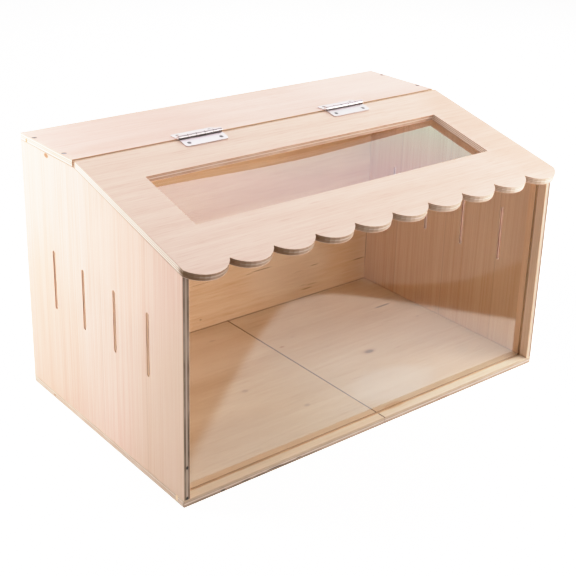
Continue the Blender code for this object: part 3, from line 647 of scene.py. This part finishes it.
def screw_surface(head, shank, head_height, length):
    """A countersunk screw along -Z with the flat of its head at 0, closed at the head's middle and the tip.

    Rings and angles make a grid. Inside the head's rim a point sinks into one of two crossed slots, less
    towards their ends. Below the rim come the cone, the shank with a thread that climbs one pitch a turn, and
    the tip, where the radius falls to nothing.
    """
    angle = np.linspace(0, 2 * math.pi, SCREW_ANGLES, endpoint=False)
    flat = np.linspace(*HEAD_FLAT, HEAD_RINGS)[:, None]
    across, up = flat * np.cos(angle), flat * np.sin(angle)
    inner = np.minimum(abs(across), abs(up))
    outer = np.maximum(abs(across), abs(up))
    within_walls = np.clip((RECESS_WIDTH / 2 - inner) / RECESS_WALL + 0.5, 0, 1)
    within_ends = np.clip((RECESS_REACH - outer) / RECESS_END + 0.5, 0, 1)
    bottom = RECESS_DEPTH * head * (1 - RECESS_RISE * outer / RECESS_REACH)
    sunk = -within_walls * within_ends * bottom
    down = np.linspace(0, 1, SHANK_RINGS)[:, None]
    z_shank = -head_height - down * (length - head_height)
    taper = np.clip((1 - down) / TIP_SHARE, TIP_LEAST, 1) ** TIP_POWER
    turns = z_shank / THREAD_PITCH + angle / (2 * math.pi)
    thread = (0.5 + 0.5 * np.cos(2 * math.pi * turns)) ** 2
    r_shank = shank * taper * (1 - THREAD_DEPTH + THREAD_DEPTH * thread)
    rim = np.array(HEAD_RIM) * head
    radius = np.vstack([flat * head + 0 * angle, rim[:, :1] + 0 * angle, r_shank])
    height = np.vstack([sunk, rim[:, 1:] + 0 * angle, z_shank + 0 * angle])
    grid = np.stack([radius * np.cos(angle), radius * np.sin(angle), height], -1)
    rings = len(grid)
    points = np.vstack([grid.reshape(-1, 3), [(0, 0, -RECESS_DEPTH * head), (0, 0, -length)]])
    ring, place = np.meshgrid(np.arange(rings - 1), np.arange(SCREW_ANGLES), indexing="ij")
    here, after = ring * SCREW_ANGLES + place, ring * SCREW_ANGLES + (place + 1) % SCREW_ANGLES
    walls = np.stack([here, here + SCREW_ANGLES, after + SCREW_ANGLES, after], -1).reshape(-1, 4)
    first, last = np.arange(SCREW_ANGLES), (rings - 1) * SCREW_ANGLES + np.arange(SCREW_ANGLES)
    middle, tip = rings * SCREW_ANGLES, rings * SCREW_ANGLES + 1
    top_fan = np.stack([np.full(SCREW_ANGLES, middle), first, np.roll(first, -1)], -1)
    tip_fan = np.stack([np.full(SCREW_ANGLES, tip), np.roll(last, -1), last], -1)
    return points, walls.tolist() + top_fan.tolist() + tip_fan.tolist()


def put_screw(node, spin, outward, size, body, material, slot):
    """Puts a screw where its CAD node is: the flat of the head is the node's furthest plane outward."""
    mesh = frame["nodes"][node].data
    corners = np.empty(len(mesh.vertices) * 3)
    mesh.vertices.foreach_get("co", corners)
    corners = corners.reshape(-1, 3)
    reach = corners @ np.array(outward)
    place = corners[reach > reach.max() - HEAD_PLANE].mean(0)
    points, faces = screw_surface(*size)
    turn = Vector((0, 0, 1)).rotation_difference(Vector(outward)).to_matrix() @ Matrix.Rotation(spin, 3, "Z")
    screw = piece(f"{node}_threaded", points @ np.array(turn).T + place, faces, material, True)
    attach(screw, body)
    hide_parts(node)


# The radius of the head and of the shank, the height of the head and the length
BOARD_SCREW = (3.4 * MM, 1.7 * MM, 2.4 * MM, 28 * MM)
HINGE_SCREW = (2.9 * MM, 1.3 * MM, 1.6 * MM, 8 * MM)
PANE_SCREW = (2.9 * MM, 1.3 * MM, 1.6 * MM, 9 * MM)
up = Vector((0, 0, 1))
lid_up = lid_to_world @ up
dark_steel = phosphated("phosphated_steel")
screw_zinc = zinc_plated("zinc_plated_screw_steel", "BFBDBA", (0.25, 0.35))
SCREW_KINDS = {
    "top_screw": (up, BOARD_SCREW, "box", dark_steel, "dark_steel"),
    "base_screw": (-up, BOARD_SCREW, "box", dark_steel, "dark_steel"),
    "back_screw": (-up, BOARD_SCREW, "box", dark_steel, "dark_steel"),
    "fixed_screw": (up, HINGE_SCREW, "box", dark_steel, "dark_steel"),
    "lid_screw": (lid_up, HINGE_SCREW, "lid", dark_steel, "dark_steel"),
    "pane_screw": (-lid_up, PANE_SCREW, "lid", screw_zinc, "zinc_plate"),
}
screws = sorted(node for node in frame["nodes"] if "screw" in node)
for number, node in enumerate(screws):
    kind = next(kind for kind in SCREW_KINDS if kind in node)
    put_screw(node, number * SCREW_SPIN, *SCREW_KINDS[kind])

# The room: a pale paper floor and soft lights round the box, with the camera where the photograph was taken.
CAMERA_PLACE = (-907.7 * MM, -1087.47 * MM, 776.9 * MM)
CAMERA_RIGHT = (0.78900931, -0.61403036, 0.02076112)
CAMERA_UP = (0.20781768, 0.29853415, 0.93149835)
CAMERA_BACK = (-0.57816617, -0.73064634, 0.36315258)
FOCAL_PIXELS = 1141.3
CENTRE_PIXEL = (269.94, 223.83)
PICTURE_PIXELS = 576
SENSOR = 36.0

camera_data = bpy.data.cameras.new("camera")
camera_data.sensor_width = SENSOR
camera_data.lens = FOCAL_PIXELS / PICTURE_PIXELS * SENSOR
camera_data.shift_x = 0.5 - CENTRE_PIXEL[0] / PICTURE_PIXELS
camera_data.shift_y = CENTRE_PIXEL[1] / PICTURE_PIXELS - 0.5
camera = bpy.data.objects.new("camera", camera_data)
bpy.context.scene.collection.objects.link(camera)
turn = Matrix((CAMERA_RIGHT, CAMERA_UP, CAMERA_BACK)).transposed()
camera.matrix_world = Matrix.Translation(CAMERA_PLACE) @ turn.to_4x4()
bpy.context.scene.camera = camera

PAPER_SIZE = 14.0
PAPER_DROP = 0.05 * MM
LIT_WHITE = 1.25


def glowing_paper(name, colour, brightness):
    """Pale matt paper that the camera alone sees lit up to white."""
    material, tree, shader = new_material(name)
    shader.inputs["Base Color"].default_value = linear(colour)
    shader.inputs["Roughness"].default_value = 0.9
    glow = add(tree, "Emission", {"Color": linear(colour), "Strength": brightness})
    seen = add(tree, "LightPath").outputs["Is Camera Ray"]
    lit = add(tree, "AddShader", {0: shader.outputs[0], 1: glow})
    mixed = add(tree, "MixShader", {0: seen, 1: shader.outputs[0], 2: lit})
    tree.links.new(mixed.outputs[0], tree.nodes["Material Output"].inputs["Surface"])
    return material


corners = np.array([(-1, -1, 0), (1, -1, 0), (1, 1, 0), (-1, 1, 0)]) * PAPER_SIZE / 2
paper = glowing_paper("studio_paper", "F4F2F0", LIT_WHITE)
ground = piece("studio_floor", corners - (0, 0, PAPER_DROP), [(0, 1, 2, 3)], paper)

# Cards that only the clear sheets and the zinc mirror: four on the ground in front, one over the other, and
# two behind, above. They give the front sheet its pale and dark areas and the lid's sheet its veil.
CARD_HIDDEN_FROM = ("camera", "diffuse", "transmission", "shadow", "volume_scatter")
EVEN = ((1, 0, 0), 0, 1)
CRISP, BLURRED = 0.012, 0.09


def mirrored_card(name, corners, colours, brightness, across=EVEN, edges=(), soft=CRISP, solid=False):
    """A card seen in mirrors only. Its light runs between two colours and strengths along a direction.

    Each edge is a direction and a distance along it: the light fades to nothing past it, over a soft width.
    A card that isn't solid adds its light to what is behind it.
    """
    material, tree, shader = new_material(name + "_light")
    tree.nodes.remove(shader)
    where = add(tree, "TexCoord").outputs["Object"]
    direction, start, stop = across
    reach = add(tree, "VectorMath", {0: where, 1: direction}, operation="DOT_PRODUCT").outputs["Value"]
    along = add(tree, "MapRange", {"Value": reach, "From Min": start, "From Max": stop})
    colour = add(tree, "MixRGB", {0: along, 1: linear(colours[0]), 2: linear(colours[1])})
    low, high = brightness
    ramp = {"Value": reach, "From Min": start, "From Max": stop, "To Min": low, "To Max": high}
    strength = add(tree, "MapRange", ramp)
    for edge_direction, edge_at in edges:
        beyond = add(tree, "VectorMath", {0: where, 1: edge_direction}, operation="DOT_PRODUCT")
        fade = {"Value": beyond.outputs["Value"], "From Min": edge_at + soft, "From Max": edge_at - soft}
        kept = add(tree, "MapRange", fade, interpolation_type="SMOOTHSTEP")
        strength = add(tree, "Math", {0: strength, 1: kept}, operation="MULTIPLY")
    glow = add(tree, "Emission", {"Color": colour, "Strength": strength})
    if not solid:
        glow = add(tree, "AddShader", {0: glow, 1: add(tree, "BsdfTransparent")})
    tree.links.new(glow.outputs[0], tree.nodes["Material Output"].inputs["Surface"])
    card = piece(name, np.array(corners) * MM, [tuple(range(len(corners)))], material)
    for sight in CARD_HIDDEN_FROM:
        setattr(card, "visible_" + sight, False)


def ground_edge(start, stop):
    """The edge from one ground point to the next, in millimetres, with the lit side on its left."""
    along = (Vector(stop) - Vector(start)).normalized()
    outward = Vector((along.y, -along.x, 0))
    return outward, outward.dot(Vector(start).to_3d()) * MM


FRONT_GROUND = ((-700, -182), (-700, -1200), (1200, -1200), (1200, -182))


def over_ground(height):
    """The corners of a card in front of the box, this many millimetres over the ground."""
    return [(x, y, height) for x, y in FRONT_GROUND]


mirrored_card("dark_card", over_ground(0.6), ("15120F",) * 2, (1.0, 1.0), solid=True)
PALE_OUTLINE = ((-228, -232), (31, -441), (134, -504), (185, -504), (211, -496), (248, -461), (412, -216))
pale_edges = [ground_edge(start, stop) for start, stop in zip(PALE_OUTLINE, PALE_OUTLINE[1:])]
PALE_ACROSS = ((1, 0, 0), 0.0, 0.2)
mirrored_card("pale_card", over_ground(1.2), ("DBF7FF", "FFF6EA"), (1.42, 1.72), PALE_ACROSS, pale_edges)
BRIGHT_EDGES = [((1, 0, 0), 0.3), ((-1, 0, 0), 0.0), ((0, -1, 0), 0.36)]
mirrored_card(
    "bright_card", over_ground(2.4), ("DDEBFF",) * 2, (0.75, 0.75), edges=BRIGHT_EDGES, soft=BLURRED
)
GREY_OUTLINE = ((1200, -398), (430, -398), (358, -430), (285, -490))
grey_edges = [ground_edge(start, stop) for start, stop in zip(GREY_OUTLINE, GREY_OUTLINE[1:])]
grey_edges.append(ground_edge((285, -490), (432, -652)))
mirrored_card("grey_card", over_ground(1.8), ("F2EAE2",) * 2, (0.45, 0.45), edges=grey_edges)
SKY_OUTLINE = ((-1200, 1700, 920), (2600, -200, 920), (2600, -200, 2600), (-1200, 1700, 2900))
LOW_OUTLINE = ((-1200, 1700, 400), (2600, -200, 300), (2600, -200, 920), (-1200, 1700, 920))
SKY_ACROSS = ((0, 0, 1), 1.06, 1.24)
mirrored_card("low_card", LOW_OUTLINE, ("F6ECEC",) * 2, (1.75, 1.75))
mirrored_card("sky_card", SKY_OUTLINE, ("D6FCEE", "EEE7F6"), (2.12, 2.0), SKY_ACROSS)

# The lamps: soft boxes all round, one of them kept out of the mirror images
WATTS = 4  # what a square metre takes for a brightness of 1, which is white


def softbox(name, place, target, size, brightness):
    """A rectangular soft light whose face has this brightness, turned to its target."""
    data = bpy.data.lights.new(name, "AREA")
    data.shape = "RECTANGLE"
    data.size, data.size_y = size
    data.energy = WATTS * size[0] * size[1] * brightness
    light = bpy.data.objects.new(name, data)
    light.location = place
    light.rotation_euler = (Vector(target) - Vector(place)).to_track_quat("-Z", "Y").to_euler()
    bpy.context.scene.collection.objects.link(light)
    return light


LIT_POINT = (0, 0, 0.2)
LIGHTS = (
    ("left_lamp", (-0.72, 0.35, 0.48), (0.3, 0.3), 15.2),
    ("right_lamp", (0.8, -0.45, 0.4), (0.35, 0.35), 11.0),
    ("right_front_lamp", (0.95, -1.15, 0.5), (0.5, 0.5), 8.0),
    ("front_softbox", (0.2, -2.0, 0.6), (0.9, 0.7), 6.0),
    ("rear_softbox", (1.5, 1.4, 1.9), (2.4, 2.2), 2.7),
    ("overhead_softbox", (0.0, 0.2, 1.8), (1.6, 1.4), 0.8),
)
for name, place, size, brightness in LIGHTS:
    lamp = softbox(name, place, LIT_POINT, size, brightness)
    lamp.visible_glossy = name != "rear_softbox"
world = bpy.data.worlds.new("studio")
world.use_nodes = True
bpy.context.scene.world = world
sky = world.node_tree.nodes["Background"]
sky.inputs["Color"].default_value = linear("F8F6F4")
AMBIENT, SEEN_WHITE = 0.12, 2.0
by_camera = add(world.node_tree, "LightPath").outputs["Is Camera Ray"]
seen_white = add(world.node_tree, "MapRange", {"Value": by_camera, "To Min": AMBIENT, "To Max": SEEN_WHITE})
world.node_tree.links.new(seen_white.outputs[0], sky.inputs["Strength"])

# The film: straight up to mid grey, then a soft shoulder up to the white of the paper.
WHITE_POINT = 2.5
SHOULDER = ((0.3, 0.3), (0.6, 0.6), (0.8, 0.77), (1.0, 0.88), (1.3, 0.96), (1.7, 0.99))
view = bpy.context.scene.view_settings
view.view_transform = "Standard"
view.use_curve_mapping = True
view.curve_mapping.white_level = (WHITE_POINT,) * 3
for light_in, light_out in SHOULDER:
    view.curve_mapping.curves[3].points.new(light_in / WHITE_POINT, light_out)
view.curve_mapping.update()
